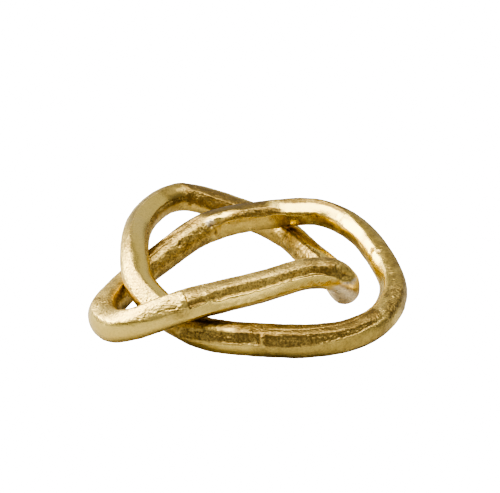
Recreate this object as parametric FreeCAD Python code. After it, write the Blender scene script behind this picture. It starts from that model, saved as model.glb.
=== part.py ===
"""A closed trefoil knot of round cast-brass bar, lying flat, in millimetres.

Eight cast bar lengths meet end to end in bevelled butt joints, and a weld bead
fills each joint, so the closed knot is sixteen solids.  +Z is up, the knot rests
on z = 0, and the origin is under the middle of its bounding box.
"""
import FreeCAD
import Part
import math
import os

Vector = FreeCAD.Vector

# Driving dimensions
BAR_DIAMETER = 18.0
ROOT_FACE_DIAMETER = 7.0     # flat nose left in the middle of each bevelled end
BEVEL_WIDTH = 2.2            # how far each bevel runs back along the bar's surface
BEAD_CROWN = 0.45            # how far a weld bead stands above the bar
CUTTER_MARGIN = 2.0          # the bevel cutter reaches this far outside the bar
FLOOR_BLOCK_SIDE = 400.0     # the block that grinds the resting flats at z = 0
FLOOR_BLOCK_DEPTH = 40.0
STRAIGHT_BEYOND = 5000.0     # an arc of a larger radius than this is drawn straight

BAR_RADIUS = BAR_DIAMETER / 2
ROOT_FACE_RADIUS = ROOT_FACE_DIAMETER / 2

# The bar's centreline, in the order it is followed round the knot.  Each bar
# length starts at its own first point and ends at the next bar's first point.
# Low points are a little under one bar radius up, which leaves the resting flats.
BARS = [
    # from the joint at the back left corner, over left_end_loop, down to the floor
    ("left_lobe", [
        (-47.0, 80.5, 26.6),
        (-64.5, 59.0, 27.8),
        (-72.0, 25.0, 28.4),
        (-71.0, -11.5, 27.8),
        (-67.5, -31.5, 22.4),
        (-54.5, -52.5, 15.8),
        (-28.0, -72.0, 9.0),
    ]),
    # along the floor at the front
    ("bottom_bar", [
        (1.0, -79.5, 8.8),
        (37.0, -80.5, 8.8),
    ]),
    # the bend at the front right
    ("right_arc", [
        (65.5, -66.5, 8.6),
        (81.0, -41.0, 8.8),
        (85.5, -11.5, 10.8),
    ]),
    # up the right side and back over back_bar
    ("top_arc", [
        (80.0, 12.0, 15.4),
        (66.0, 42.5, 21.0),
        (44.0, 55.5, 26.0),
        (23.0, 51.0, 27.8),
        (-4.5, 42.5, 28.0),
    ]),
    # down under left_lobe and round the tight bend at the left end
    ("left_end_loop", [
        (-30.5, 31.5, 25.0),
        (-50.5, 16.0, 17.4),
        (-67.5, -0.5, 10.6),
        (-81.5, -30.0, 8.6),
        (-85.5, -50.5, 8.8),
        (-77.0, -70.0, 12.0),
        (-62.5, -77.5, 19.0),
    ]),
    # over left_lobe and across the middle of the knot
    ("front_bar", [
        (-45.0, -77.0, 25.8),
        (-14.0, -64.0, 28.2),
        (13.0, -51.0, 29.2),
        (36.5, -40.0, 30.0),
    ]),
    # the tight bend down to the floor
    ("knee_bar", [
        (50.0, -36.0, 25.4),
        (55.5, -27.0, 12.8),
        (52.0, -6.0, 8.6),
        (37.5, 26.5, 8.6),
    ]),
    # under top_arc and up to the back left corner
    ("back_bar", [
        (22.5, 57.5, 9.4),
        (3.5, 72.0, 14.0),
        (-21.0, 79.0, 20.6),
    ]),
]


def circle_tangent(before, here, after):
    """Direction at `here` of the circle through three points in a row."""
    incoming = here - before
    outgoing = after - here
    tangent = (incoming * (outgoing.Length / incoming.Length)
               + outgoing * (incoming.Length / outgoing.Length))
    return tangent.normalize()


def biarc_middle(start, start_tangent, end, end_tangent):
    """The point where two tangent arcs that join start to end meet."""
    chord = end - start
    tangent_sum = start_tangent + end_tangent
    bend = 2 * (1 - start_tangent.dot(end_tangent))
    along = chord.dot(tangent_sum)
    reach = chord.dot(chord) / (along + math.sqrt(along ** 2 + bend * chord.dot(chord)))
    return (start + start_tangent * reach + end - end_tangent * reach) * 0.5


def bar_arc(start, tangent, end):
    """Round bar along the arc that leaves start along tangent and reaches end.

    Returns the solid, the arc's tangent at its end, its radius and its length.
    """
    chord = end - start
    across = chord - tangent * chord.dot(tangent)
    section = Part.Face(Part.Wire(Part.makeCircle(BAR_RADIUS, start, tangent)))
    radius = chord.dot(chord) / (2 * max(across.Length, 1e-9))
    if radius > STRAIGHT_BEYOND:
        return section.extrude(chord), tangent, radius, chord.Length
    inward = across.normalize()
    centre = start + inward * radius
    axis = tangent.cross(inward)
    angle = 2 * math.acos(min(1.0, tangent.dot(chord) / chord.Length))
    turned = FreeCAD.Rotation(axis, math.degrees(angle)).multVec(tangent)
    return section.revolve(centre, axis, math.degrees(angle)), turned, radius, radius * angle


def ring_about(point, tangent, profile):
    """Solid ring turned about tangent from a list of (along, outward) edges' points."""
    outward = tangent.cross(Vector(0, 0, 1)).normalize()

    def place(along, out):
        return point + tangent * along + outward * out

    edges = []
    for stretch in profile:
        corners = [place(along, out) for along, out in stretch]
        if len(corners) == 3:
            edges.append(Part.Arc(*corners).toShape())
        else:
            edges.append(Part.makeLine(*corners))
    return Part.Face(Part.Wire(edges)).revolve(point, tangent, 360)


def bevel_cutter(point, tangent):
    """V-shaped ring that bevels the two bar ends that meet at a joint."""
    slope = BEVEL_WIDTH / (BAR_RADIUS - ROOT_FACE_RADIUS)
    outer = BAR_RADIUS + CUTTER_MARGIN
    half_width = slope * (outer - ROOT_FACE_RADIUS)
    root = (0, ROOT_FACE_RADIUS)
    left = (-half_width, outer)
    right = (half_width, outer)
    return ring_about(point, tangent, [(root, right), (right, left), (left, root)])


def weld_bead(point, tangent):
    """Weld metal that fills a joint's V and stands a little above the bar."""
    root = (0, ROOT_FACE_RADIUS)
    left = (-BEVEL_WIDTH, BAR_RADIUS)
    right = (BEVEL_WIDTH, BAR_RADIUS)
    crown = (0, BAR_RADIUS + BEAD_CROWN)
    return ring_about(point, tangent, [(root, right), (right, crown, left), (left, root)])


def ground_flat(shape):
    """Everything below z = 0 ground away, which leaves the resting flats."""
    corner = Vector(-FLOOR_BLOCK_SIDE / 2, -FLOOR_BLOCK_SIDE / 2, -FLOOR_BLOCK_DEPTH)
    block = Part.makeBox(FLOOR_BLOCK_SIDE, FLOOR_BLOCK_SIDE, FLOOR_BLOCK_DEPTH, corner)
    if shape.BoundBox.ZMin >= 0:
        return shape
    return shape.cut(block)


def route_stations():
    """Every centreline point with its tangent, and where each bar starts."""
    points = [Vector(*place) for _, places in BARS for place in places]
    count = len(points)
    stations = []
    for index, here in enumerate(points):
        tangent = circle_tangent(points[index - 1], here, points[(index + 1) % count])
        stations.append((here, tangent))
    starts = []
    total = 0
    for _, places in BARS:
        starts.append(total)
        total += len(places)
    return stations, starts


def bar_length(stations):
    """One bar, fused from the tangent arcs that join its stations."""
    pieces = []
    length = 0
    tightest = STRAIGHT_BEYOND
    for (start, tangent), (end, end_tangent) in zip(stations, stations[1:]):
        middle = biarc_middle(start, tangent, end, end_tangent)
        first, middle_tangent, first_radius, first_length = bar_arc(start, tangent, middle)
        second, _, second_radius, second_length = bar_arc(middle, middle_tangent, end)
        pieces += [first, second]
        length += first_length + second_length
        tightest = min(tightest, first_radius, second_radius)
    fused = pieces[0].multiFuse(pieces[1:]).removeSplitter()
    return fused.Solids[0], length, tightest


def export(name, shape):
    """Write one node as STEP and print what it measures."""
    solids = shape.Solids
    assert len(solids) == 1 and solids[0].isValid(), name
    solids[0].exportStep("parts/" + name + ".step")
    print(f"{name:14s} volume {solids[0].Volume:9.1f} mm3")
    return solids[0]


def main():
    os.makedirs("parts", exist_ok=True)
    stations, starts = route_stations()
    ring = stations + stations[:1]
    bounds = starts + [len(stations)]
    section_area = math.pi * BAR_RADIUS ** 2
    solids = []
    for (name, _), first, last in zip(BARS, bounds, bounds[1:]):
        bar, length, tightest = bar_length(ring[first:last + 1])
        error = bar.Volume / (section_area * length) - 1
        print(f"{name:14s} length {length:6.1f} tightest bend {tightest:5.1f} volume off {error:.5f}")
        for station in (ring[first], ring[last]):
            bar = bar.cut(bevel_cutter(*station))
        solids.append(export(name, ground_flat(bar)))
    for number, start in enumerate(starts, 1):
        bead = weld_bead(*stations[start])
        solids.append(export(f"weld_{number}", ground_flat(bead)))
    box = Part.makeCompound(solids).optimalBoundingBox(False)
    print(f"x {box.XMin:.2f} {box.XMax:.2f}  y {box.YMin:.2f} {box.YMax:.2f}  z {box.ZMin:.2f} {box.ZMax:.2f}")


main()
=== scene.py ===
"""The looks of a sand-cast brass bar, bent and welded into a closed trefoil knot.

One surface runs all the way round the knot.  It is a round bar whose sides are cut by
long ground flats, then marked by hollows, grooves, pits, lumps and weld beads, and it
is split into the bars and weld beads of the CAD model at the joints.  Places on the
surface are given by a station along the route (0 at its first point, 1 at its second
and so on, with fractions between) and an angle in degrees round the bar, from 0 on top
towards the right-hand side of travel.  Sizes are in millimetres until the meshes.
"""

import math
from itertools import product

import bpy
import numpy as np
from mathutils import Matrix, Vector


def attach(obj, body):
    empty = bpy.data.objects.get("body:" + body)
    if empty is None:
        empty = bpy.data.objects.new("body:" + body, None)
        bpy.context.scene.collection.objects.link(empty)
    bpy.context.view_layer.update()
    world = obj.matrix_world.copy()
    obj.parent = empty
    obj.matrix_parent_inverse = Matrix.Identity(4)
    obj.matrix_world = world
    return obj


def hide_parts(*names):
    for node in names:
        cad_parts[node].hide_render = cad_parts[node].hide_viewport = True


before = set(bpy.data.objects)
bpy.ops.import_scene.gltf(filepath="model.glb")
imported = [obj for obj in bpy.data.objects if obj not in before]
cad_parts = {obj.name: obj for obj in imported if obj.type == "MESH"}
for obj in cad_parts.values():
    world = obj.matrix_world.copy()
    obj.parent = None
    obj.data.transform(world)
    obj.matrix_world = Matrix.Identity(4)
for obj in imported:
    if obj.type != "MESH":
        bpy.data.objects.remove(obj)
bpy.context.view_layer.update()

MM = 0.001

# The bar's centreline and its thickness there, in travel order: x, y, z, thickness.
# Each bar starts at its own first point and ends at the next bar's first point.
BARS = [
    ("left_lobe", "weld_1", [
        (-47.0, 80.5, 26.6, 18.4), (-64.5, 59.0, 27.8, 17.4), (-72.0, 25.0, 28.4, 17.0),
        (-71.0, -11.5, 27.8, 16.6), (-67.5, -31.5, 22.4, 17.0), (-54.5, -52.5, 15.8, 17.6),
        (-28.0, -72.0, 9.0, 17.6)]),
    ("bottom_bar", "weld_2", [
        (1.0, -79.5, 8.8, 18.0), (37.0, -80.5, 8.8, 17.6)]),
    ("right_arc", "weld_3", [
        (65.5, -66.5, 8.6, 16.8), (81.0, -41.0, 8.8, 16.2), (85.5, -11.5, 10.8, 16.2)]),
    ("top_arc", "weld_4", [
        (80.0, 12.0, 15.4, 16.4), (66.0, 42.5, 21.0, 16.2), (44.0, 55.5, 26.0, 17.0),
        (23.0, 51.0, 27.8, 17.8), (-4.5, 42.5, 28.0, 18.4)]),
    ("left_end_loop", "weld_5", [
        (-30.5, 31.5, 25.0, 19.0), (-50.5, 16.0, 17.4, 17.8), (-67.5, -0.5, 10.6, 17.8),
        (-81.5, -30.0, 8.6, 18.0), (-85.5, -50.5, 8.8, 18.4), (-77.0, -70.0, 12.0, 18.2),
        (-62.5, -77.5, 19.0, 18.0)]),
    ("front_bar", "weld_6", [
        (-45.0, -77.0, 25.8, 18.2), (-14.0, -64.0, 28.2, 17.8), (13.0, -51.0, 29.2, 17.6),
        (36.5, -40.0, 30.0, 17.8)]),
    ("knee_bar", "weld_7", [
        (50.0, -36.0, 25.4, 18.2), (55.5, -27.0, 12.8, 17.8), (52.0, -6.0, 8.6, 17.6),
        (37.5, 26.5, 8.6, 17.6)]),
    ("back_bar", "weld_8", [
        (22.5, 57.5, 9.4, 18.0), (3.5, 72.0, 14.0, 18.6), (-21.0, 79.0, 20.6, 19.0)]),
]
BEAD_HALF_WIDTH = 2.2
ROOT_FACE_RADIUS = 3.5       # of the flat nose in the middle of each joint
CAST_EXCESS = 0.45           # how far the cast skin stands outside the thickness above
PIT_DEPTH = 0.25
PLAIN_SAND = 0.4             # how sandy the skin is where no table says otherwise

# How finely the surface is sampled
PER_SPAN = 80                # samples of the route from each station to the next
RING_STEP = 0.4              # distance between rings of vertices along a bar
BEAD_STEPS = 12              # rings along a weld bead
AROUND = 144                 # vertices in each ring

# How gradually marks start and end along the bar
FLAT_FADES = (9.0, 9.0)
BROWN_FADES = (8.0, 8.0)
SKIN_FADES = (5.0, 3.0)
GROOVE_FADES = (4.0, 4.0)
LADDER_FADES = (3.0, 3.0)
LEAD = 20                    # how far before its first station a mark may start

# How gradually they start and end round the bar, in degrees
FLAT_EDGE = 3.0
BROWN_EDGE = 9.0
SKIN_EDGE = 6.0
RIPPLE_EDGE = 8.0
LIP_EDGE = 8.0
FLAT_REACH = 75              # a flat cuts no deeper beyond this angle from its middle

CREASE = 0.06                # how much the edges between flats are rounded
NOISE_GAIN = 1.6             # brings the noise's range to about -1 to 1

# The brass: colours are linear RGB, texture scales are per metre
SKIN_TONES = ((0.3, (0.72, 0.53, 0.19, 1)), (0.7, (0.88, 0.69, 0.27, 1)))
GROUND_TONE = (0.84, 0.65, 0.23, 1)
# Painted reflection: the pale colour mixed in where reflected light is painted
REFLECTION_TONE = (0.90, 0.77, 0.53, 1)
# Tint for patina and for painted shade: the colour is multiplied towards it
PATINA_AND_SHADE_TINT = (0.39, 0.35, 0.33, 1)
# How much the grain's valleys are darkened: dirt and painted shade
GRAIN_DIRT_AND_SHADE = 0.4
BLOTCH_SCALE = 120.0
FINE_SCALE = 900.0
SAND_SCALE = 800.0
CAST_ROUGHNESS = 0.42
GROUND_ROUGHNESS = 0.23
UNEVEN_ROUGHNESS = 0.16
GRAIN_HEIGHT = 0.00034       # of the bump, in metres

# Numbers of a colour Mix node's sockets
MIX_FACTOR, MIX_FIRST, MIX_SECOND = 0, 6, 7
MIX_RESULT = 2

# Camera, in metres and millimetres of lens and sensor
CAMERA_ELEVATION = math.radians(25.8)
CAMERA_DISTANCE = 0.721
CAMERA_AIM = Vector((-0.0011, 0.0495, 0.0038))
SENSOR_WIDTH = 36
LENS = 78.0624

# Lamps, in metres: name, place, what it points at, width and height, watts
LAMPS = [
    ("key_left", (-0.75, 0.16, 0.60), (0, 0, 0.02), (0.9, 1.05), 14.6),
    ("overhead", (0.2, 0.05, 1.0), (0.2, 0, 0.02), (1.1, 0.6), 7.4),
    ("panel_back", (0.35, 1.05, 0.6), (0, 0, 0.02), (2.0, 0.8), 1.3),
    ("card_front", (0.6, -1.0, 0.05), (0, 0, 0.02), (1.4, 0.3), 1.6),
]
ROOM_LIGHT = 0.25
FLOOR_HALF = 4.0
SHOWN_FLOOR_GLOW = 3.6
MIRRORED_FLOOR_GREY = 0.8

# The tables below place marks on the skin.  A row that ends in a list of (station, angle,
# angle) marks a strip along the bar, between those two angles at each of the stations.

# Long ground flats: how flat (0 round, 1 plane), how smooth, then their two edges'
# angles at stations.
FLATS = [
    # left_lobe
    (0.45, 1.0, [(-0.1, -82, -6), (0.5, -80, -8), (1.1, -74, 2), (1.7, -72, 12), (2.6, -78, 18),
                 (3.5, -72, 14), (4.5, -62, 12), (5.4, -50, 18)]),
    (0.4, 0.6, [(0.2, -6, 44), (1.1, 2, 52), (1.7, 12, 58), (2.6, 18, 62), (3.5, 14, 66),
                (4.5, 12, 74), (5.4, 18, 84)]),
    (0.4, 0.3, [(-0.5, -140, -92), (1.0, -132, -84), (2.1, -124, -80), (3.4, -116, -76)]),
    (0.3, 0.4, [(-0.5, 60, 118), (2.0, 66, 122), (4.0, 80, 130), (5.2, 95, 150)]),
    (0.4, 0.4, [(-0.5, 122, 172), (2.0, 126, 180), (4.4, 134, 196)]),
    # bottom_bar
    (0.6, 1.0, [(5.5, 112, 156), (5.9, 105, 150), (6.25, 90, 142), (6.8, 84, 136), (7.3, 84, 134),
                (7.7, 80, 134), (8.1, 70, 130), (8.5, 60, 122), (9.0, 50, 108)]),
    (0.3, 0.3, [(5.6, -30, 38), (6.6, -28, 34)]),
    (0.7, 0.3, [(6.7, -30, 32), (7.2, -30, 34), (8.0, -30, 32), (8.8, -34, 28)]),
    (0.4, 0.4, [(5.6, 196, 248), (7.5, 190, 244), (9.0, 184, 240)]),
    (0.3, 0.4, [(5.6, 252, 322), (7.5, 250, 330), (9.0, 244, 316)]),
    # right_arc and top_arc
    (0.4, 1.0, [(9.7, -72, -30), (10.9, -84, -40), (11.7, -84, -33), (12.3, -76, -28),
                (12.9, -72, -22), (13.3, -68, -12)]),
    (0.85, 1.0, [(13.3, -68, -6), (14.0, -72, 2), (14.7, -76, 4), (15.1, -70, 4),
                 (15.35, -66, -4)]),
    (0.7, 0.3, [(15.5, -86, -38), (16.1, -82, -38)]),
    (0.3, 0.9, [(9.4, -20, 36), (10.5, -34, 34), (11.7, -32, 36), (12.9, -22, 40), (13.4, -8, 40),
                (14.2, 4, 44), (15.0, 4, 40), (16.6, -8, 34)]),
    (0.3, 0.5, [(9.2, 50, 104), (10.5, 40, 100), (12.0, 38, 98), (13.5, 38, 96), (15.0, 30, 88),
                (16.8, 24, 84)]),
    (0.3, 0.5, [(9.2, -110, -40), (10.4, -134, -76), (11.5, -140, -90), (12.2, -136, -78),
                (13.0, -130, -70)]),
    (0.4, 0.4, [(9.0, 108, 160), (12.0, 102, 156), (15.0, 92, 150), (17.0, 88, 150)]),
    (0.3, 0.4, [(9.0, 164, 214), (13.0, 160, 212), (17.0, 156, 210)]),
    (0.6, 0.9, [(13.3, -140, -74), (14.2, -146, -80), (15.1, -148, -70), (16.2, -146, -54),
                (16.8, -142, -66)]),
    (0.5, 1.0, [(16.15, -48, -22), (16.6, -48, -20), (16.95, -46, -20)]),
    (0.6, 0.7, [(15.45, -34, 38), (16.05, -34, 38), (16.3, -22, 38), (16.9, -20, 38)]),
    # the bar under left_lobe
    (0.6, 0.2, [(17.2, -72, -36), (17.6, -70, -38), (18.2, -70, -40), (19.2, -70, -40)]),
    (0.3, 0.2, [(17.0, -104, -70), (18.0, -102, -68), (19.3, -100, -68)]),
    (0.6, 0.3, [(17.2, -34, 38), (18.2, -38, 42), (19.4, -38, 36)]),
    (0.5, 0.9, [(16.9, -146, -94), (18.0, -140, -96), (19.4, -136, -92)]),
    (0.4, 0.4, [(17.2, 40, 92), (18.0, 46, 96), (19.5, 38, 90)]),
    (0.3, 0.4, [(17.0, 96, 150), (19.6, 96, 150)]),
    (0.3, 0.4, [(17.0, 152, 208), (19.6, 152, 206)]),
    # left_end_loop
    (0.5, 0.4, [(19.6, -28, 38), (20.6, -22, 42), (21.3, -36, 44), (22.0, -18, 44),
                (22.5, 4, 48), (22.8, 12, 56), (23.1, 12, 60), (23.5, 4, 72), (24.0, -6, 75),
                (24.3, -4, 76)]),
    (0.15, 1.0, [(20.4, 46, 112), (21.3, 44, 118), (22.1, 44, 132), (22.5, 48, 138),
                (22.8, 56, 142), (23.1, 60, 142), (23.5, 72, 144), (24.1, 76, 140),
                (24.7, 74, 128)]),
    (0.3, 0.1, [(19.8, -120, -30), (20.6, -118, -24), (21.0, -112, -34), (21.6, -104, -32),
                (22.3, -96, -8), (22.8, -90, 10), (23.1, -86, 10), (23.6, -84, 2),
                (24.2, -90, -8)]),
    (0.4, 0.4, [(19.8, 116, 170), (22.0, 138, 190), (24.2, 146, 200)]),
    (0.3, 0.4, [(19.8, 174, 228), (22.0, 194, 250), (24.2, 204, 262)]),
    # front_bar
    (0.3, 0.1, [(24.25, -40, 34), (24.67, -38, 26), (25.0, -36, 20), (25.5, -34, 16),
                (25.9, -34, 16), (26.3, -30, 28), (26.8, -28, 34), (27.5, -30, 40)]),
    (0.8, 1.0, [(24.2, 56, 116), (24.6, 40, 110), (25.0, 34, 108), (25.3, 32, 108),
                (25.75, 34, 110), (26.2, 38, 114), (26.75, 44, 116), (27.5, 46, 116)]),
    (0.4, 0.6, [(24.2, 124, 172), (25.5, 120, 170), (27.0, 134, 178), (27.6, 132, 178)]),
    (0.3, 0.4, [(24.2, 174, 228), (27.5, 180, 232)]),
    (0.3, 0.4, [(24.2, 230, 316), (27.5, 234, 326)]),
    # knee_bar
    (0.2, 0.7, [(27.6, 90, 160), (28.0, 98, 170), (28.6, 112, 190)]),
    (0.3, 0.6, [(28.0, 40, 94), (28.5, 50, 108), (29.6, 60, 118)]),
    (0.2, 0.5, [(28.1, -50, 36), (29.6, -30, 54)]),
    (0.5, 1.0, [(29.9, -20, 44), (31.2, -22, 42), (32.1, -26, 40)]),
    (0.3, 0.2, [(29.8, -96, -26), (31.2, -100, -28), (32.1, -110, -34)]),
    (0.3, 0.4, [(29.7, 48, 104), (32.0, 46, 100)]),
    (0.3, 0.4, [(29.0, -160, -102), (32.0, -166, -114)]),
    # back_bar
    (0.6, 0.5, [(32.6, -80, -38), (33.4, -90, -42), (34.3, -92, -40), (35.0, -88, -38)]),
    (0.3, 0.4, [(32.3, -150, -84), (33.4, -150, -94), (34.8, -146, -98)]),
    (0.7, 0.5, [(32.5, -36, 44), (33.4, -40, 44), (34.9, -38, 44)]),
    (0.3, 0.4, [(32.3, 54, 108), (34.7, 56, 110)]),
    (0.4, 0.4, [(32.3, 112, 166), (34.7, 112, 170)]),
]

# Hollows left rough from the mould: depth, how dark (patina, partly painted shade in the
# recess), length of the slope at each end, the part of the width over which it deepens, the
# degrees over which it comes up again, then its two edges' angles at stations.
HOLLOWS = [
    (0.4, 0.25, (6, 6), 0.7, 6, [
        (-0.2, -98, -70), (0.5, -98, -68), (1.0, -96, -62), (2.1, -92, -62), (3.2, -86, -60)]),
    (0.8, 0.6, (3, 0.8), 0.4, 6, [
        (5.75, 56, 104), (6.0, 42, 87), (6.5, 36, 82), (6.9, 36, 79), (7.13, 40, 79)]),
    (0.5, 0.7, (0.8, 6), 0.2, 6, [
        (7.17, 58, 70), (7.21, 46, 80), (7.3, 44, 82), (7.7, 40, 80), (8.1, 36, 68),
        (8.5, 36, 58), (9.0, 32, 46)]),
    (0.35, 0.5, (6, 6), 0.5, 6, [
        (7.3, 10, 24), (7.7, 4, 16), (8.1, -2, 8), (8.6, -10, 0), (9.1, -16, -6)]),
    (0.6, 1.0, (4, 4), 0.3, 6, [
        (17.1, -6, 10), (17.5, -6, 12), (17.8, 6, 30), (18.1, 14, 46), (18.8, 18, 50)]),
    (0.75, 0.0, (0.7, 6), 0.2, 6, [(24.26, -40, 66), (27.2, -40, 66)]),
    (0.6, 0.8, (1, 1.2), 0.6, 6, [(24.27, 40, 76), (24.42, 40, 72), (24.53, 44, 70)]),
    (0.8, 0.35, (1.5, 6), 0.5, 8, [
        (24.67, 28, 71), (25.0, 26, 70), (25.5, 22, 66), (25.9, 22, 67), (26.3, 28, 73),
        (26.8, 30, 77), (27.3, 36, 72)]),
    (0.5, 0.7, (4, 4), 0.5, 6, [(33.5, -98, -82), (34.4, -95, -82), (34.9, -94, -80)]),
]

# Ripples across the bar: height, distance between ripples, then edges' angles at stations.
LADDERS = [
    (0.12, 1.9, [(6.1, 50, 84), (6.9, 48, 78), (7.1, 50, 78)]),
    (0.06, 2.6, [(9.9, -10, 30), (10.6, -26, 20), (11.3, -32, 4)]),
    (0.08, 1.7, [(8.7, 40, 64), (9.3, 34, 62)]),
]

# Small hammered dapples: height, size, then edges' angles at stations.
DAPPLES = [
    (0.20, 2.6, [(17.05, -100, 34), (18.5, -100, 24), (19.5, -100, 14)]),
    (0.14, 2.4, [(33.4, -92, 20), (34.3, -92, 20), (34.95, -92, -40)]),
    (0.30, 2.6, [(30.2, -110, -28), (31.2, -104, -28), (32.1, -110, -30)]),
    (0.25, 1.8, [(5.5, 30, 96), (5.9, 36, 88), (6.2, 40, 80)]),
    (0.14, 2.2, [(26.8, 0, 70), (27.6, -10, 80), (27.9, 0, 80)]),
    (0.12, 1.8, [(3.0, 8, 60), (4.0, 8, 66), (5.2, 10, 80)]),
    (0.05, 1.8, [(20.6, -70, 48), (22.0, -60, 46), (23.4, -60, 66), (24.1, -30, 76)]),
    (0.12, 2.2, [(15.3, -66, -30), (15.7, -50, -24), (16.6, -44, -20)]),
    (0.10, 1.8, [(9.6, 10, 70), (10.3, -10, 60), (11.0, -20, 30)]),
]

# Browner skin, and painted shade where a row says so: how dark, how much of the grinding it
# hides, how patchy, then its two edges' angles at stations.
BROWNED_AND_SHADED = [
    (1.0, 0.9, 0.3, [(33.0, -90, 20), (34.0, -92, 24), (35.08, -92, 20)]),
    (1.0, 0.7, 0.4, [(5.4, -60, 24), (6.6, -60, 24), (7.2, -60, 34), (8.0, -60, 30),
                     (9.0, -60, 14)]),
    (0.4, 0.7, 0.8, [(5.6, 10, 60), (6.3, 10, 50), (6.55, 10, 50)]),
    (1.0, 0.8, 0.5, [(6.65, -10, 50), (7.2, -10, 52), (8.0, -10, 48), (8.8, -10, 38),
                     (9.3, -20, 30)]),
    # Painted shadow: darkens the lower front flat of bottom_bar where the floor's contact shadow
    # falls, and keeps its grinding
    (0.55, 0.0, 0.4, [(7.0, 84, 150), (7.7, 80, 150), (8.4, 62, 150), (9.4, 50, 140)]),
    (0.5, 0.7, 0.8, [(9.3, 20, 60), (9.9, 0, 58), (10.4, -10, 50)]),
    (0.35, 0.7, 0.2, [(24.3, -30, 66), (25.5, -34, 64), (27.6, -30, 70)]),
    (0.8, 0.7, 0.3, [(26.7, -30, 60), (27.5, -30, 76), (27.8, -30, 80)]),
    (1.0, 0.5, 0.3, [(17.0, -22, 60), (18.4, -18, 60), (19.4, -14, 60)]),
    (0.5, 0.9, 0.8, [(17.0, -130, -16), (18.4, -136, -12), (19.4, -136, -6)]),
    (0.6, 0.5, 0.8, [(18.3, -90, 10), (18.8, -90, 10), (19.5, -90, 10)]),
    (0.6, 0.4, 0.6, [(9.8, -20, 112), (11.0, -26, 112), (12.5, -18, 112), (13.4, -15, 112),
                      (14.6, -13, 112), (15.2, -12, 112)]),
    (0.3, 0.7, 0.5, [(19.4, -30, 60), (20.5, -30, 60), (21.3, -30, 50)]),
    (0.65, 0.3, 1.0, [(19.8, -150, -8), (20.6, -150, -6), (21.3, -140, -18), (21.9, -130, -34)]),
    (0.35, 0.6, 1.2, [(23.9, 60, 96), (24.26, 60, 104)]),
    # Partly painted shadow: darker skin just past the lip's step, where the step's shadow falls;
    # partly browner skin
    (0.5, 0.7, 0.5, [(24.28, -30, 64), (24.7, -34, 64)]),
    (0.4, 0.7, 0.8, [(29.6, -70, -10), (30.6, -90, -20), (31.9, -90, -24)]),
    (0.1, 0.2, 0.5, [(29.6, 20, 100), (30.6, 30, 100), (32.3, 30, 100)]),
    (1.0, 0.3, 0.3, [(14.8, 12, 60), (15.4, 6, 60), (15.7, -30, 60), (16.1, -44, 60),
                     (16.5, -26, 60), (17.0, -24, 60)]),
    (1.0, 1.0, 0.6, [(15.2, -68, -50), (15.5, -66, -34), (16.1, -62, -30), (16.5, -60, -42)]),
    (1.0, 0.8, 0.6, [(15.5, -46, 30), (16.0, -46, 30)]),
    (0.7, 0.3, 0.6, [(24.3, 118, 160), (26.0, 118, 160), (27.4, 122, 165)]),
    (0.4, 0.3, 1.0, [(11.6, -150, -104), (12.5, -150, -88), (13.3, -150, -78)]),
    (0.3, 0.5, 1.0, [(2.8, 8, 40), (4.0, 4, 40), (5.0, 6, 40)]),
    (0.4, 0.0, 0.8, [(13.3, -150, -80), (14.2, -150, -84), (15.3, -150, -60), (16.8, -146, -66)]),
    (0.6, 0.4, 0.2, [(34.85, -92, 10), (35.3, -88, 8), (35.8, -82, 10)]),
    (0.9, 0.9, 0.7, [(13.2, -22, 16), (14.1, -21, 16), (14.8, -19, 16), (15.3, -14, 16)]),
]

# Sandy skin of the plain colour: its two edges' angles at stations.
SANDED = [
    [(20.6, -60, 50), (21.6, -60, 44), (22.5, -60, 48), (23.2, -40, 60), (24.22, -30, 74)],
    [(2.4, 10, 64), (3.5, 8, 60), (5.2, 8, 80)],
    [(9.2, -60, 70), (10.4, -30, 50)],
]

# Painted reflection: a paler colour where the knee's underside and a silvery patch near station
# 17 stand in for reflected light; its two edges' angles at stations.
PAINTED_REFLECTIONS = [
    [(27.72, 110, 220), (28.0, 84, 250), (28.25, 60, 255), (28.5, 40, 260), (29.2, 40, 250)],
    [(16.84, -60, -34), (17.02, -58, -34)],
]

# Narrow grooves along the bar: width, depth, then stations and angles.
GROOVES = [
    (1.2, 0.25, [(8.3, 60), (8.67, 54), (8.9, 45), (9.3, 38), (9.7, 28), (10.2, 22)]),
    (0.9, 0.2, [(9.2, 14), (9.6, 6), (10.1, 2)]),
    (1.4, 0.6, [(30.3, -20), (30.8, -20), (31.2, -22), (31.62, -24), (32.0, -30)]),
    (1.0, 0.35, [(17.9, -8), (18.3, -12), (19.0, -14)]),
    (0.9, 0.3, [(23.9, 52), (24.1, 60), (24.2, 66)]),
    (1.3, 0.4, [(14.05, -82), (14.7, -79), (15.1, -73), (15.5, -64), (16.2, -60), (16.9, -62)]),
]

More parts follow.
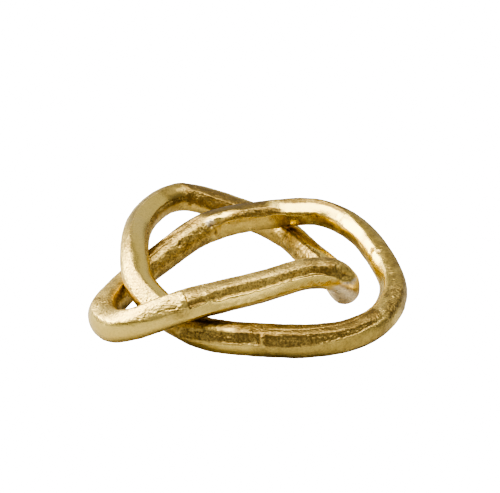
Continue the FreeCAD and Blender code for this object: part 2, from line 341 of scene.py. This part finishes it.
# Dents (height below zero) and lumps: station, angle, half length, half width, height.
SPOTS = [
    (0.0, -76, 1.6, 1.6, -0.4), (34.83, -100, 1.8, 1.4, -0.7),
    (6.92, 64, 1.2, 1.2, -0.5), (7.04, 66, 1.6, 1.3, -0.9), (7.0, 40, 1.0, 1.4, 0.4),
    (7.17, 52, 0.7, 3.0, 0.5), (7.17, 80, 0.7, 1.6, 0.3),
    (12.0, -44, 1.5, 1.6, -0.6), (11.86, -32, 0.9, 2.2, 0.45), (11.78, -26, 1.2, 1.2, -0.5),
    (16.7, -38, 3.6, 1.6, 0.5), (16.92, -60, 2.0, 1.6, -0.8), (16.86, -94, 1.6, 2.2, -0.35),
    (17.96, -12, 1.6, 1.4, -0.5), (17.96, -36, 1.6, 1.4, -0.5), (17.88, -54, 1.4, 1.4, -0.5),
    (24.58, 40, 1.0, 2.6, 0.5), (24.6, 64, 0.9, 1.6, 0.4),
    (27.9, 58, 3.2, 2.8, -1.9), (27.7, 76, 0.9, 2.2, 0.6),
    (31.65, -62, 3.2, 3.0, -0.9), (31.92, -36, 1.2, 1.2, 0.5), (31.78, -30, 1.2, 1.2, 0.5),
    (31.62, -22, 1.0, 1.2, 0.4),
]

# Ragged lips across the bar: station, first and last angle, half width, height.
LIPS = [
    (24.22, 8, 56, 0.9, 1.0), (24.12, 50, 74, 0.9, 0.8),
    (24.59, 30, 68, 1.0, 0.5),
    (6.97, 22, 62, 0.5, 0.8), (7.15, 44, 80, 0.7, 0.4),
    (16.9, -100, -30, 0.7, 0.35),
]


def spline_through(points, per_span):
    """Samples of a smooth closed curve through the points, per_span to each span."""
    count = len(points)
    after = np.roll(points, -1, axis=0)
    spans = np.linalg.norm(after[:, :3] - points[:, :3], axis=1)
    matrix = np.zeros((count, count))
    turns_needed = np.zeros_like(points)
    for i in range(count):
        matrix[i, i - 1] += spans[i - 1]
        matrix[i, i] += 2 * (spans[i - 1] + spans[i])
        matrix[i, (i + 1) % count] += spans[i]
        slope_after = (after[i] - points[i]) / spans[i]
        slope_before = (points[i] - points[i - 1]) / spans[i - 1]
        turns_needed[i] = 6 * (slope_after - slope_before)
    bends = np.linalg.solve(matrix, turns_needed)
    samples = []
    for i in range(count):
        span = spans[i]
        done = np.linspace(0, 1, per_span, endpoint=False)[:, None] * span
        left = span - done
        here, there = bends[i], bends[(i + 1) % count]
        samples.append(here * left ** 3 / (6 * span) + there * done ** 3 / (6 * span)
                       + (points[i] / span - here * span / 6) * left
                       + (after[i] / span - there * span / 6) * done)
    return np.concatenate(samples)


def unit(vectors):
    """The vectors at length 1."""
    return vectors / np.linalg.norm(vectors, axis=-1, keepdims=True)


route = np.array([point for _, _, points in BARS for point in points])
STATIONS = len(route)
dense = spline_through(route, PER_SPAN)
dense = np.vstack([dense, dense[:1]])
dense_steps = np.linalg.norm(np.diff(dense[:, :3], axis=0), axis=1)
dense_length = np.concatenate([[0], np.cumsum(dense_steps)])
TOTAL = dense_length[-1]


def along(station):
    """Distance along the bar at a station, which may lie outside the first lap."""
    laps = np.floor_divide(station, STATIONS)
    sample = (station % STATIONS) * PER_SPAN
    return np.interp(sample, np.arange(len(dense_length)), dense_length) + laps * TOTAL


# The rings of vertices: each bar's between its two beads, and each bead's own.
joints = []
first = 0
for _, _, points in BARS:
    joints.append(float(along(first)))
    first += len(points)
ring_list = []


def add_rings(start_place, end_place, steps):
    """Adds evenly spaced rings; returns the first one's number and the one past the last."""
    first_ring = len(ring_list)
    ring_list.extend(np.linspace(start_place, end_place, steps + 1)[:-1])
    return first_ring, first_ring + steps


bead_rings = []
bar_rings = []
for joint, next_joint in zip(joints, joints[1:] + [TOTAL]):
    bar_start = joint + BEAD_HALF_WIDTH
    bar_end = next_joint - BEAD_HALF_WIDTH
    bead_rings.append(add_rings(joint - BEAD_HALF_WIDTH, bar_start, BEAD_STEPS))
    bar_rings.append(add_rings(bar_start, bar_end, int(round((bar_end - bar_start) / RING_STEP))))
ring_places = np.array(ring_list)
RINGS = len(ring_places)
lap_places = ring_places % TOTAL


def at_rings(samples):
    """Values at the rings, from one row of values for each sample of the route."""
    return np.stack([np.interp(lap_places, dense_length, column) for column in samples.T], axis=1)


# Each ring's centre and axes, and the way outward to each of its vertices.
ring_data = at_rings(dense)
centres = ring_data[:, :3]
bar_radius = ring_data[:, 3:4] / 2
lap = dense[:-1, :3]
dense_tangent = unit(np.roll(lap, -1, axis=0) - np.roll(lap, 1, axis=0))
tangents = unit(at_rings(np.vstack([dense_tangent, dense_tangent[:1]])))
tops = unit(np.array([0.0, 0.0, 1.0]) - tangents * tangents[:, 2:3])
rights = np.cross(tangents, tops)
turns = np.arange(AROUND) * 360.0 / AROUND
outward = (tops[:, None] * np.cos(np.radians(turns))[None, :, None]
           + rights[:, None] * np.sin(np.radians(turns))[None, :, None])


def noise(points, cell, seed):
    """Smooth noise from about -1 to 1 whose lumps are the size of cell."""
    random = np.random.default_rng(seed)
    table = random.permutation(256)
    gradients = unit(random.normal(size=(256, 3)))
    place = points / cell
    corner = np.floor(place).astype(int)
    part = place - corner
    fade = part ** 3 * (part * (part * 6 - 15) + 10)
    total = np.zeros(points.shape[:-1])
    for offset in product((0, 1), repeat=3):
        key = table[(corner[..., 0] + offset[0]) & 255]
        key = table[(key + corner[..., 1] + offset[1]) & 255]
        key = table[(key + corner[..., 2] + offset[2]) & 255]
        shares = [fade[..., k] if offset[k] else 1 - fade[..., k] for k in range(3)]
        slope = np.sum(gradients[key] * (part - np.array(offset)), axis=-1)
        total += np.prod(shares, axis=0) * slope
    return total * NOISE_GAIN


def ramp(value):
    """0 below 0, 1 above 1, and smooth between."""
    value = np.clip(value, 0, 1)
    return value * value * (3 - 2 * value)


def turned(angle, other):
    """Difference of two angles in degrees, from -180 to 180."""
    return (angle - other + 180) % 360 - 180


def knots_on_rings(knots, fade_in, fade_out):
    """Each ring's weight (0 past the first and last station) and the knots' values there."""
    places = [float(along(knot[0])) for knot in knots]
    start, length = places[0], places[-1] - places[0]
    ahead = (ring_places - start + LEAD) % TOTAL - LEAD
    weight = ramp(ahead / fade_in + 0.5) * ramp((length - ahead) / fade_out + 0.5)
    offsets = [place - start for place in places]
    columns = list(zip(*knots))[1:]
    values = [np.interp(ahead, offsets, column)[:, None] for column in columns]
    return weight[:, None], values


def strip(knots, angles, fades):
    """A strip along the bar: its weight on each ring, half its width in degrees, and each
    vertex's degrees from its middle line."""
    weight, (low, high) = knots_on_rings(knots, *fades)
    half = (high - low) / 2
    return weight, half, np.abs(turned(angles, (low + high) / 2))


def ahead_of(place):
    """How far each ring is ahead of a place on the bar, the shorter way round."""
    return ((ring_places - place + TOTAL / 2) % TOTAL - TOTAL / 2)[:, None]


# The shape as a radius at each vertex, with the masks that the material reads: how ground,
# how dark from patina and painted shade, how sandy, and how much painted pale reflection
# there is.  Each noise call gives its lumps' size and its seed.  Wavy and ragged angles make
# the edges of marks uneven.
skin_points = centres[:, None] + outward * bar_radius[:, :, None]
wavy = turns[None, :] + 3.0 * noise(skin_points, 9.0, 11) + 1.2 * noise(skin_points, 2.6, 12)
ragged = wavy + 2.5 * noise(skin_points, 3.6, 13) + 1.5 * noise(skin_points, 1.5, 14)
radius = np.repeat(bar_radius, AROUND, axis=1)
ground = np.zeros_like(radius)
patina_and_shade = np.zeros_like(radius)
sandy = np.full_like(radius, PLAIN_SAND)
pale_reflection = np.zeros_like(radius)

for flatness, smooth, knots in FLATS:
    weight, half, from_middle = strip(knots, wavy, FLAT_FADES)
    plane = np.cos(np.radians(half)) / np.cos(np.radians(np.minimum(from_middle, FLAT_REACH)))
    cut = bar_radius * (1 - flatness * weight * (1 - plane))
    near = np.clip(1 - np.abs(cut - radius) / CREASE, 0, 1)
    inside = ramp((half - from_middle) / FLAT_EDGE) * weight
    radius = np.minimum(cut, radius) - near * near * CREASE / 4
    ground = np.maximum(ground, inside * smooth)

blotches = 0.6 * noise(skin_points, 4.5, 16) + 0.45 * noise(skin_points, 1.8, 17)
for dark, hidden, patchy, knots in BROWNED_AND_SHADED:
    weight, half, from_middle = strip(knots, ragged, BROWN_FADES)
    inside = ramp((half - from_middle) / BROWN_EDGE + 0.5) * weight
    patina_and_shade = np.maximum(patina_and_shade, dark * inside * np.clip(0.9 + patchy * blotches, 0, 1.2))
    ground *= 1 - hidden * inside
    sandy = np.maximum(sandy, hidden * inside)

# Sandy skin, and the painted pale reflection, each with frayed edges
for mask, seed, skins in ((sandy, 51, SANDED), (pale_reflection, 52, PAINTED_REFLECTIONS)):
    frayed = 8 * noise(skin_points, 3.0, seed)
    for knots in skins:
        weight, half, from_middle = strip(knots, ragged, SKIN_FADES)
        edge = half - from_middle + frayed
        mask[:] = np.maximum(mask, ramp(edge / SKIN_EDGE + 0.5) * weight)
ground *= 1 - 0.5 * np.clip(sandy * 2 - 1, 0, 1)

for depth, dark, ends, rise, fall, knots in HOLLOWS:
    weight, (low, high) = knots_on_rings(knots, *ends)
    width = high - low
    across = turned(ragged, (low + high) / 2) / width + 0.5
    inside = ramp(across / rise) * ramp((1 - across) * width / fall + 0.3) * weight
    radius -= depth * inside
    ground *= 1 - np.minimum(1, inside * 1.5)
    # Darker as the hollow deepens: patina, partly painted shade in the recess
    patina_and_shade = np.maximum(patina_and_shade, dark * np.minimum(1, inside * 2.5))
    sandy = np.maximum(sandy, np.minimum(1, inside * 1.5))

for width, depth, knots in GROOVES:
    weight, (line,) = knots_on_rings(knots, *GROOVE_FADES)
    off = np.abs(np.radians(turned(ragged, line))) * bar_radius
    inside = np.clip(1 - off / width, 0, 1) * weight
    radius -= depth * inside
    # Darker in proportion to the groove's depth: painted shade in the groove, partly patina
    patina_and_shade = np.maximum(patina_and_shade, 1.4 * depth * ramp(inside * 1.5))

ripple_wander = 3.0 * noise(skin_points, 6.0, 18)
for height, pitch, knots in LADDERS:
    weight, half, from_middle = strip(knots, ragged, LADDER_FADES)
    inside = ramp((half - from_middle) / RIPPLE_EDGE) * weight
    phase = ring_places[:, None] / pitch * 2 * math.pi + ripple_wander
    radius += height * inside * np.sin(phase)

for height, cell, knots in DAPPLES:
    weight, half, from_middle = strip(knots, ragged, SKIN_FADES)
    inside = ramp((half - from_middle) / RIPPLE_EDGE) * weight
    dapple = noise(skin_points, cell, 61)
    radius += height * inside * dapple
    # Darker in the dapples' low parts, more for taller dapples: painted shade, partly patina
    patina_and_shade = np.maximum(patina_and_shade, 1.2 * height * inside * np.clip(0.3 - 2.0 * dapple, 0, 2))

spot_wander = 1.0 * noise(skin_points, 2.2, 15)
for station, angle, half_length, half_width, height in SPOTS:
    lengthways = ahead_of(float(along(station))) + spot_wander
    across = np.radians(turned(ragged, angle)) * bar_radius
    inside = np.exp(-((lengthways / half_length) ** 2 + (across / half_width) ** 2))
    radius += height * inside
    # Dents are darkened and lose their grinding: patina, partly painted shade in the dent
    if height < 0:
        patina_and_shade = np.maximum(patina_and_shade, 0.8 * inside)
        ground *= 1 - inside

lip_wander = 1.3 * noise(skin_points, 3.2, 31) + 0.5 * noise(skin_points, 1.2, 32)
for station, first_angle, last_angle, half_width, height in LIPS:
    inside = np.exp(-((ahead_of(float(along(station))) + lip_wander) / half_width) ** 2)
    inside *= ramp(turned(wavy, first_angle) / LIP_EDGE) * ramp(turned(last_angle, wavy) / LIP_EDGE)
    radius += height * inside

bead_wander = 0.8 * noise(skin_points, 4.0, 41)
bead_height = 0.04 + 0.2 * noise(skin_points, 6.0, 42)
for joint in joints:
    crown = np.clip(1 - ((ahead_of(joint) + bead_wander) / BEAD_HALF_WIDTH) ** 2, 0, 1)
    radius += crown * bead_height

# The mould's own surface: lumps, sand grain and gas pits, ground away on the flats.
left_rough = 1 - 0.85 * ground
radius += CAST_EXCESS + 0.25 * noise(skin_points, 14.0, 21)
radius += (0.14 * noise(skin_points, 5.0, 22) + 0.06 * noise(skin_points, 3.0, 27)) * left_rough
grain = noise(skin_points, 1.3, 23) * 0.6 + noise(skin_points, 0.85, 24) * 0.7
radius += (0.05 + 0.13 * sandy) * grain * left_rough
pits = ramp((noise(skin_points, 1.9, 25) - 0.35) / 0.3)
pitted = pits * ramp((noise(skin_points, 9.0, 26) + 0.2) / 0.4)
radius -= PIT_DEPTH * pitted * left_rough
# Pits are darkened: patina, partly painted shade in the pit
patina_and_shade = np.maximum(patina_and_shade, 0.6 * pitted * left_rough)
speckle = noise(skin_points, 1.3, 29) + 0.6 * noise(skin_points, 7.0, 30)
patina_and_shade += left_rough * (0.03 + 0.2 * speckle * (0.3 + sandy))
patina_and_shade = np.clip(patina_and_shade, 0, 1)

MASKS = {"ground": ground, "patina_and_shade": patina_and_shade, "pale_reflection": pale_reflection, "sandy": sandy}
surface = centres[:, None] + outward * radius[:, :, None]
surface[..., 2] = np.maximum(surface[..., 2], 0.0)

# One ring's vertices, and the next vertex along it from each.
RING = np.arange(AROUND)
BESIDE = (RING + 1) % AROUND


def root_ring(joint_number):
    """The small ring where the bevels of a joint end, and its middle, in the joint's plane."""
    middle_ring = sum(bead_rings[joint_number]) // 2
    centre = centres[middle_ring]
    return centre + outward[middle_ring] * ROOT_FACE_RADIUS, centre


def add_piece(name, vertices, quads, triangles, masks):
    """A mesh object from arrays, in metres, with its masks as attributes."""
    mesh = bpy.data.meshes.new(name)
    faces = [tuple(int(v) for v in face) for face in quads]
    faces += [tuple(int(v) for v in face) for face in triangles]
    mesh.from_pydata((vertices * MM).tolist(), [], faces)
    for key, values in masks.items():
        attribute = mesh.attributes.new(key, "FLOAT", "POINT")
        attribute.data.foreach_set("value", values.astype(np.float32))
    mesh.polygons.foreach_set("use_smooth", [True] * len(faces))
    mesh.update()
    piece = bpy.data.objects.new(name, mesh)
    bpy.context.scene.collection.objects.link(piece)
    return piece


def quads_between(start, end):
    """A quad for each side of two rings whose first vertices are start and end."""
    return np.stack([start + RING, start + BESIDE, end + BESIDE, end + RING], axis=1)


def skin_quads(rows):
    """The quads of a skin of rows of rings, as a list with an array for each gap."""
    return [quads_between(row * AROUND, (row + 1) * AROUND) for row in range(rows - 1)]


def masks_on(rings, spare):
    """The masks of a piece with those rings, and 0 for its spare inner vertices."""
    inner = np.zeros(spare)
    return {key: np.concatenate([mask[rings].ravel(), inner]) for key, mask in MASKS.items()}


def sharp_rings(piece, rings):
    """Marks the rings where the skin meets a joint's faces as sharp edges."""
    mesh = piece.data
    edges = np.zeros(len(mesh.edges) * 2, dtype=np.int32)
    mesh.edges.foreach_get("vertices", edges)
    edges = edges.reshape(-1, 2)
    sharp = np.zeros(len(edges), dtype=bool)
    for start in rings:
        sharp |= np.all((edges >= start) & (edges < start + AROUND), axis=1)
    attribute = mesh.attributes.new("sharp_edge", "BOOLEAN", "EDGE")
    attribute.data.foreach_set("value", sharp)


def bar_piece(number, name):
    """One bar: its skin, a bevel at each end and the flat nose inside each joint."""
    start, end = bar_rings[number]
    rings = np.arange(start, end + 1) % RINGS
    near_ring, near_middle = root_ring(number)
    far_ring, far_middle = root_ring((number + 1) % len(BARS))
    vertices = np.vstack([surface[rings].reshape(-1, 3),
                          near_ring, [near_middle], far_ring, [far_middle]])
    last = (len(rings) - 1) * AROUND
    near = last + AROUND
    near_centre = near + AROUND
    far = near_centre + 1
    far_centre = far + AROUND
    quads = np.vstack(skin_quads(len(rings)) + [quads_between(near, 0), quads_between(last, far)])
    triangles = np.vstack([np.stack([RING * 0 + near_centre, near + BESIDE, near + RING], axis=1),
                           np.stack([far + RING, far + BESIDE, RING * 0 + far_centre], axis=1)])
    piece = add_piece(name, vertices, quads, triangles, masks_on(rings, 2 * (AROUND + 1)))
    sharp_rings(piece, [0, last, near, far])
    return piece


def bead_piece(number, name):
    """One weld bead: a ring whose inner faces fill the joint's V."""
    start, end = bead_rings[number]
    rings = np.arange(start, end + 1) % RINGS
    inner, _ = root_ring(number)
    vertices = np.vstack([surface[rings].reshape(-1, 3), inner])
    last = (len(rings) - 1) * AROUND
    root = last + AROUND
    quads = np.vstack(skin_quads(len(rings)) + [quads_between(root, 0), quads_between(last, root)])
    no_triangles = np.zeros((0, 3), dtype=int)
    piece = add_piece(name, vertices, quads, no_triangles, masks_on(rings, AROUND))
    sharp_rings(piece, [0, last, root])
    return piece


def node(tree, kind, place, **settings):
    """A shader node with its settings."""
    made = tree.nodes.new(kind)
    made.location = place
    for key, value in settings.items():
        setattr(made, key, value)
    return made


def set_inputs(made, **values):
    """Sets a node's unlinked inputs; an underscore stands for a space in an input's name."""
    for key, value in values.items():
        made.inputs[key.replace("_", " ")].default_value = value


def brass_material():
    """Cast brass: smooth ground flats, grainy mould skin and dark hollows, with painted shade and a
    painted pale reflection.
    """
    material = bpy.data.materials.new("cast_brass")
    material.use_nodes = True
    tree = material.node_tree
    tree.nodes.clear()
    link = tree.links.new
    output = node(tree, "ShaderNodeOutputMaterial", (900, 0))
    shader = node(tree, "ShaderNodeBsdfPrincipled", (600, 0))
    set_inputs(shader, Metallic=1.0)
    link(shader.outputs["BSDF"], output.inputs["Surface"])
    place = node(tree, "ShaderNodeTexCoord", (-1400, 0))
    flat = node(tree, "ShaderNodeAttribute", (-1100, 500), attribute_name="ground")
    dark = node(tree, "ShaderNodeAttribute", (-1100, 300), attribute_name="patina_and_shade")
    reflection_mask = node(tree, "ShaderNodeAttribute", (-1100, 700), attribute_name="pale_reflection")
    grit = node(tree, "ShaderNodeAttribute", (-1100, 900), attribute_name="sandy")
    blotch = node(tree, "ShaderNodeTexNoise", (-1100, 100))
    set_inputs(blotch, Scale=BLOTCH_SCALE, Detail=5.0)
    fine = node(tree, "ShaderNodeTexNoise", (-1100, -150))
    set_inputs(fine, Scale=FINE_SCALE, Detail=3.0)
    sand = node(tree, "ShaderNodeTexVoronoi", (-1100, -400))
    set_inputs(sand, Scale=SAND_SCALE)
    for texture in (blotch, fine, sand):
        link(place.outputs["Object"], texture.inputs["Vector"])

    # Colour: blotchy mould skin, then ground metal, then a painted pale reflection, then patina,
    # dirt and painted shade over all
    tone = node(tree, "ShaderNodeValToRGB", (-800, 100))
    for element, (position, colour) in zip(tone.color_ramp.elements, SKIN_TONES):
        element.position = position
        element.color = colour
    link(blotch.outputs["Fac"], tone.inputs["Fac"])
    smooth_tone = node(tree, "ShaderNodeMix", (-500, 200), data_type="RGBA")
    smooth_tone.inputs[MIX_SECOND].default_value = GROUND_TONE
    link(flat.outputs["Fac"], smooth_tone.inputs[MIX_FACTOR])
    link(tone.outputs["Color"], smooth_tone.inputs[MIX_FIRST])
    # Painted reflection: mixes in a paler colour
    reflection_tone = node(tree, "ShaderNodeMix", (-250, 400), data_type="RGBA")
    reflection_tone.inputs[MIX_SECOND].default_value = REFLECTION_TONE
    link(reflection_mask.outputs["Fac"], reflection_tone.inputs[MIX_FACTOR])
    link(smooth_tone.outputs[MIX_RESULT], reflection_tone.inputs[MIX_FIRST])
    # Darker in the low valleys of the bump's grain on sandy skin: dirt and painted shade
    grain_valleys = node(tree, "ShaderNodeMapRange", (-800, 400))
    set_inputs(grain_valleys, From_Min=0.56, From_Max=0.40)
    link(fine.outputs["Fac"], grain_valleys.inputs["Value"])
    valley_dirt_and_shade = node(tree, "ShaderNodeMath", (-500, 400), operation="MULTIPLY")
    link(grain_valleys.outputs["Result"], valley_dirt_and_shade.inputs[0])
    link(grit.outputs["Fac"], valley_dirt_and_shade.inputs[1])
    darkened = node(tree, "ShaderNodeMath", (-250, 600), operation="MULTIPLY_ADD", use_clamp=True)
    darkened.inputs[1].default_value = GRAIN_DIRT_AND_SHADE
    link(valley_dirt_and_shade.outputs["Value"], darkened.inputs[0])
    link(dark.outputs["Fac"], darkened.inputs[2])
    # Darkens the colour by patina, dirt and painted shade
    dark_tone = node(tree, "ShaderNodeMix", (0, 200), data_type="RGBA", blend_type="MULTIPLY")
    dark_tone.inputs[MIX_SECOND].default_value = PATINA_AND_SHADE_TINT
    link(darkened.outputs["Value"], dark_tone.inputs[MIX_FACTOR])
    link(reflection_tone.outputs[MIX_RESULT], dark_tone.inputs[MIX_FIRST])
    link(dark_tone.outputs[MIX_RESULT], shader.inputs["Base Color"])

    # Roughness: less where ground, and uneven by blotches to either side
    dull = node(tree, "ShaderNodeMapRange", (-500, -50))
    set_inputs(dull, To_Min=CAST_ROUGHNESS, To_Max=GROUND_ROUGHNESS)
    link(flat.outputs["Fac"], dull.inputs["Value"])
    uneven = node(tree, "ShaderNodeMath", (-250, -50), operation="MULTIPLY_ADD")
    uneven.inputs[1].default_value = UNEVEN_ROUGHNESS
    link(blotch.outputs["Fac"], uneven.inputs[0])
    link(dull.outputs["Result"], uneven.inputs[2])
    less = node(tree, "ShaderNodeMath", (0, -50), operation="SUBTRACT")
    less.inputs[1].default_value = UNEVEN_ROUGHNESS / 2
    link(uneven.outputs["Value"], less.inputs[0])
    link(less.outputs["Value"], shader.inputs["Roughness"])

    # Bump: the finest grain, stronger on sandy skin and weaker where ground
    height = node(tree, "ShaderNodeMath", (-800, -250), operation="MULTIPLY_ADD")
    height.inputs[1].default_value = 0.5
    link(sand.outputs["Distance"], height.inputs[0])
    link(fine.outputs["Fac"], height.inputs[2])
    grainy = node(tree, "ShaderNodeMapRange", (-800, -650))
    set_inputs(grainy, To_Min=0.35, To_Max=1.0)
    link(grit.outputs["Fac"], grainy.inputs["Value"])
    polished = node(tree, "ShaderNodeMapRange", (-800, -450))
    set_inputs(polished, To_Min=1.0, To_Max=0.2)
    link(flat.outputs["Fac"], polished.inputs["Value"])
    kept = node(tree, "ShaderNodeMath", (-500, -500), operation="MULTIPLY")
    link(grainy.outputs["Result"], kept.inputs[0])
    link(polished.outputs["Result"], kept.inputs[1])
    bump = node(tree, "ShaderNodeBump", (300, -300))
    set_inputs(bump, Distance=GRAIN_HEIGHT)
    link(height.outputs["Value"], bump.inputs["Height"])
    link(kept.outputs["Value"], bump.inputs["Strength"])
    link(bump.outputs["Normal"], shader.inputs["Normal"])
    return material


brass = brass_material()
for number, (bar_name, weld_name, _) in enumerate(BARS):
    for node_name, piece in ((bar_name, bar_piece(number, bar_name + "_cast")),
                             (weld_name, bead_piece(number, weld_name + "_bead"))):
        piece.data.materials.append(brass)
        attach(piece, "root")
        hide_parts(node_name)

looking = Vector((0, math.cos(CAMERA_ELEVATION), -math.sin(CAMERA_ELEVATION)))
camera_data = bpy.data.cameras.new("camera")
camera_data.sensor_width = SENSOR_WIDTH
camera_data.lens = LENS
camera = bpy.data.objects.new("camera", camera_data)
bpy.context.scene.collection.objects.link(camera)
camera.location = CAMERA_AIM - looking * CAMERA_DISTANCE
camera.rotation_euler = looking.to_track_quat("-Z", "Y").to_euler()
bpy.context.scene.camera = camera


def area_light(name, place, aim, size, watts):
    """A soft white rectangular lamp that points at aim."""
    data = bpy.data.lights.new(name, "AREA")
    data.shape = "RECTANGLE"
    data.size, data.size_y = size
    data.energy = watts
    lamp = bpy.data.objects.new(name, data)
    bpy.context.scene.collection.objects.link(lamp)
    lamp.location = place
    lamp.rotation_euler = (Vector(aim) - Vector(place)).to_track_quat("-Z", "Y").to_euler()


def floor_material(name, grey, glow):
    """A plain matt floor, with some light of its own."""
    material = bpy.data.materials.new(name)
    material.use_nodes = True
    set_inputs(material.node_tree.nodes["Principled BSDF"],
               Base_Color=(grey, grey, grey, 1),
               Roughness=0.9,
               Specular_IOR_Level=0.1,
               Emission_Color=(1, 1, 1, 1),
               Emission_Strength=glow)
    return material


def floor_plane(name, height, material):
    """A square floor at a height, for the picture only."""
    mesh = bpy.data.meshes.new(name)
    corners = [(x * FLOOR_HALF, y * FLOOR_HALF, height)
               for x, y in ((-1, -1), (1, -1), (1, 1), (-1, 1))]
    mesh.from_pydata(corners, [], [(0, 1, 2, 3)])
    plane = bpy.data.objects.new(name, mesh)
    bpy.context.scene.collection.objects.link(plane)
    plane.data.materials.append(material)
    return plane


# The camera sees a white floor, and the brass mirrors a grey one just below it.
shown_floor = floor_plane("floor", -0.0001, floor_material("floor_white", 0.0, SHOWN_FLOOR_GLOW))
shown_floor.visible_diffuse = False
shown_floor.visible_glossy = False
mirrored_floor = floor_plane("floor_in_metal", -0.0002,
                             floor_material("floor_grey", MIRRORED_FLOOR_GREY, 0.0))
mirrored_floor.visible_camera = False

for lamp in LAMPS:
    area_light(*lamp)

world = bpy.data.worlds.new("studio")
bpy.context.scene.world = world
world.use_nodes = True
set_inputs(world.node_tree.nodes["Background"], Color=(1, 1, 1, 1), Strength=ROOM_LIGHT)

view = bpy.context.scene.view_settings
view.view_transform = "AgX"
view.look = "AgX - Very High Contrast"
